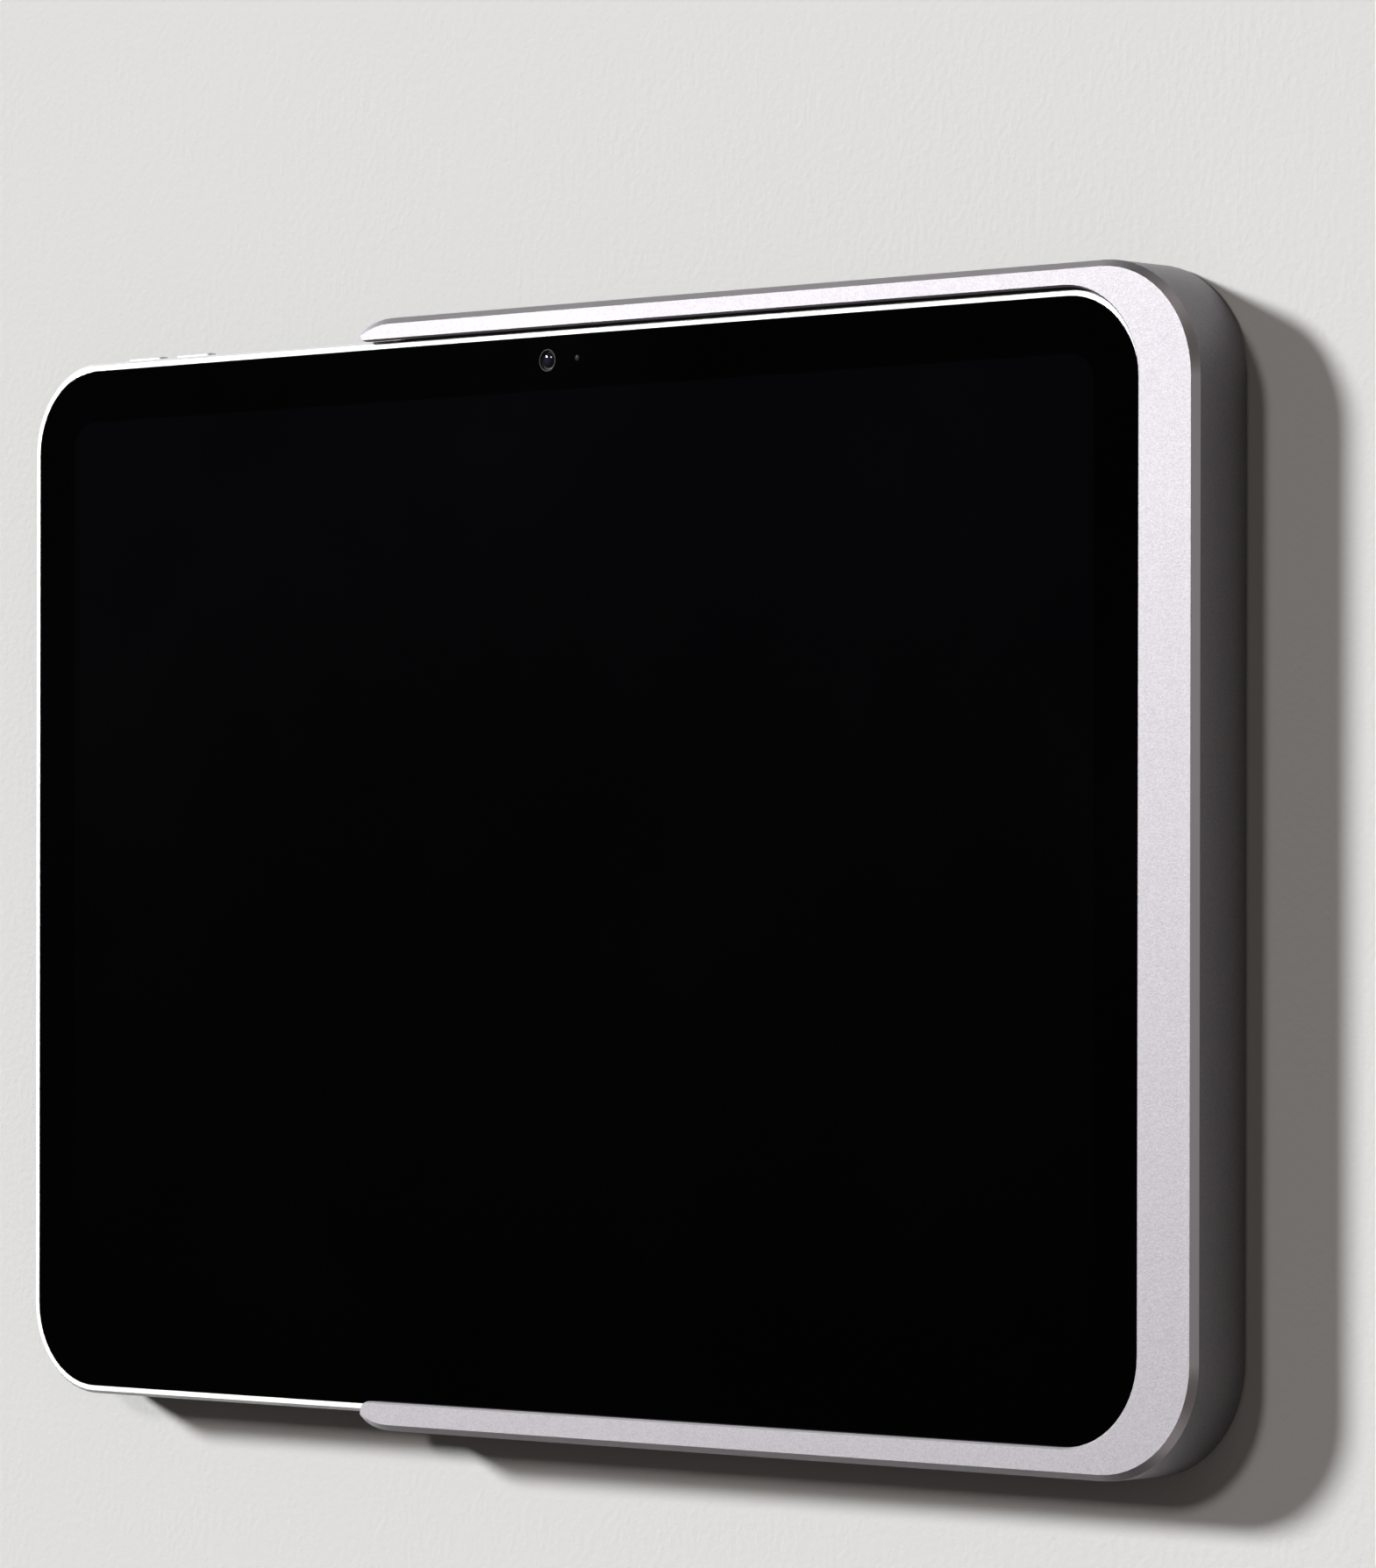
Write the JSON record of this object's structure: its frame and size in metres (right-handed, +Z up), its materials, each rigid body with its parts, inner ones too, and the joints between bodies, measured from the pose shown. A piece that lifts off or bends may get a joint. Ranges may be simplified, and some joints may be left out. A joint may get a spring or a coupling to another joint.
{
  "type": "wall-mounted tablet",
  "caption": "Landscape tablet with flat aluminium edges that slides sideways into a square milled aluminium wall dock, whose open left side lets part of the tablet stand free",
  "frame": {"origin": "centre of the dock's back on the wall plane, which is the centre of its wall screw pattern", "axes": "+X to the right seen from the room, +Z up, +Y into the wall, so the glass faces -Y"},
  "size_m": [0.2602, 0.013, 0.1862],
  "materials": {
    "dock_aluminium": "bead-blasted, clear anodised",
    "tablet_aluminium": "fine bead-blasted, clear anodised",
    "plate_aluminium": "mill finish",
    "black_glass": "polished, printed black behind",
    "lens_glass": "polished, coated",
    "steel": "bright",
    "silicone": "matt",
    "felt": "short-napped felt",
    "black_plastic": "fine textured",
    "board": "solder mask",
    "battery_wrap": "film",
    "display": "backed with foil",
    "magnet": "nickel plated",
    "gold_contact": "gold plated"
  },
  "bodies": {
    "dock": {"dock_housing": "dock_aluminium", "wall_plate": "plate_aluminium", "locating_pins": "steel", "lock_screws": "steel", "bottom_liner": "silicone", "top_liner": "silicone", "end_bumper": "silicone", "back_pads": "felt", "dock_magnets": "magnet", "charging_board": "board", "board_screws": "steel", "converter": "black_plastic", "terminal_block": "black_plastic", "plug_body": "black_plastic", "plug_shell": "steel"},
    "tablet": {"tablet_housing": "tablet_aluminium", "cover_glass": "black_glass", "display_gasket": "black_plastic", "display_panel": "display", "display_ribbon": "gold_contact", "front_camera": "lens_glass", "light_sensor": "black_plastic", "rear_camera_ring": "tablet_aluminium", "rear_camera_lens": "lens_glass", "rear_camera_module": "black_plastic", "battery_left": "battery_wrap", "battery_right": "battery_wrap", "board_shield": "steel", "logic_board": "board", "processor": "black_plastic", "port_board": "board", "port_shell": "steel", "port_tongue": "black_plastic", "speaker_left_upper": "black_plastic", "speaker_left_lower": "black_plastic", "speaker_right_upper": "black_plastic", "speaker_right_lower": "black_plastic", "volume_switches": "steel", "volume_bracket": "steel", "power_switch": "steel", "power_bracket": "steel", "edge_contacts": "gold_contact", "case_magnets": "magnet"},
    "volume_up": {"volume_up_button": "tablet_aluminium"},
    "volume_down": {"volume_down_button": "tablet_aluminium"},
    "power": {"power_button": "tablet_aluminium"}
  },
  "joints": [
    {"name": "tablet_slide", "type": "slide", "parent": "dock", "child": "tablet", "axis": [-1, 0, 0], "range_m": [0, 0.17]},
    {"name": "volume_up_press", "type": "slide", "parent": "tablet", "child": "volume_up", "axis": [0, 0, -1], "range_m": [0, 0.0003], "stiffness_N_per_m": 3000, "springref_m": -0.0002},
    {"name": "volume_down_press", "type": "slide", "parent": "tablet", "child": "volume_down", "axis": [0, 0, -1], "range_m": [0, 0.0003], "stiffness_N_per_m": 3000, "springref_m": -0.0002},
    {"name": "power_press", "type": "slide", "parent": "tablet", "child": "power", "axis": [1, 0, 0], "range_m": [0, 0.0003], "stiffness_N_per_m": 3000, "springref_m": -0.0002}
  ]
}
